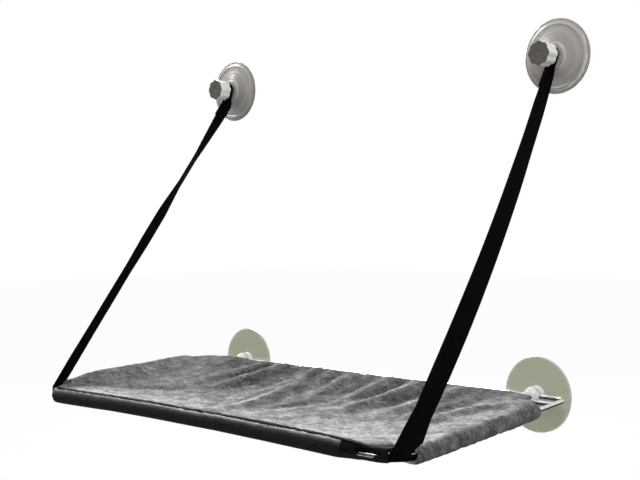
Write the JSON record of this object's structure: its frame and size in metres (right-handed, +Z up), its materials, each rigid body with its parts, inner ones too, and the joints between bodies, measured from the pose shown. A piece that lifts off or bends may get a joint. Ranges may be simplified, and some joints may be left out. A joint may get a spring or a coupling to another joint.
{
  "type": "window mounted cat perch",
  "caption": "Wire frame pet perch with a soft plush cover, hinged on suction cups stuck to a window and hung by webbing straps from upper suction cups with screw knobs.",
  "frame": {"origin": "point on the window glass midway between the centres of the two lower suction cups", "axes": "+X to the right along the glass as seen from the room, +Y into the glass, +Z up"},
  "size_m": [0.5898, 0.2889, 0.4445],
  "materials": {
    "upper_pvc": "clear smoke soft PVC, glossy, moulded rings",
    "lower_pvc": "clear greenish soft PVC, satin, bright cut edge",
    "stud_steel": "zinc plated steel",
    "knob_silver": "silver finish with a darker end face",
    "insert_brass": "turned",
    "rod_chrome": "chrome plated steel wire, 5 mm",
    "plush": "short pile grey plush, mottled",
    "nylon": "black satin nylon",
    "hook_tape": "black hook tape",
    "loop_tape": "black loop tape",
    "webbing": "black woven webbing, 25 mm"
  },
  "bodies": {
    "root": {"upper_cup_left": "upper_pvc", "upper_cup_right": "upper_pvc", "stud_left": "stud_steel", "stud_right": "stud_steel", "strap_left": "webbing", "strap_right": "webbing", "lower_cup_left": "lower_pvc", "lower_cup_right": "lower_pvc"},
    "washer_left": {"washer_left": "stud_steel"},
    "washer_right": {"washer_right": "stud_steel"},
    "knob_left": {"knob_left": "knob_silver", "knob_insert_left": "insert_brass"},
    "knob_right": {"knob_right": "knob_silver", "knob_insert_right": "insert_brass"},
    "perch": {"frame_wire": "rod_chrome", "crossbar": "rod_chrome", "plush_panel": "plush", "backing_panel": "nylon", "front_sleeve": "nylon", "rear_flap": "plush", "side_flap_left": "plush", "side_flap_right": "plush", "hook_strip_front": "hook_tape", "hook_strip_rear": "hook_tape", "hook_strip_left": "hook_tape", "hook_strip_right": "hook_tape", "loop_strip_front": "loop_tape", "loop_strip_rear": "loop_tape", "loop_strip_left": "loop_tape", "loop_strip_right": "loop_tape"}
  },
  "joints": [
    {"name": "perch_fold", "type": "hinge", "parent": "root", "child": "perch", "pos_m": [0, -0.012, 0], "axis": [-1, 0, 0], "range_deg": [0, 90], "deforming": ["strap_left", "strap_right"]},
    {"name": "knob_travel_left", "type": "slide", "parent": "root", "child": "washer_left", "axis": [0, -1, 0], "range_m": [0, 0.00801]},
    {"name": "knob_turn_left", "type": "hinge", "parent": "washer_left", "child": "knob_left", "pos_m": [-0.254, 0, 0.363], "axis": [0, -1, 0], "range_deg": [0, 2880]},
    {"name": "knob_travel_right", "type": "slide", "parent": "root", "child": "washer_right", "axis": [0, -1, 0], "range_m": [0, 0.00801]},
    {"name": "knob_turn_right", "type": "hinge", "parent": "washer_right", "child": "knob_right", "pos_m": [0.254, 0, 0.363], "axis": [0, -1, 0], "range_deg": [0, 2880]}
  ],
  "couplings": [
    {"joint": "knob_travel_left", "follows": "knob_turn_left", "m_per_rad": 0.00015915},
    {"joint": "knob_travel_right", "follows": "knob_turn_right", "m_per_rad": 0.00015915}
  ]
}
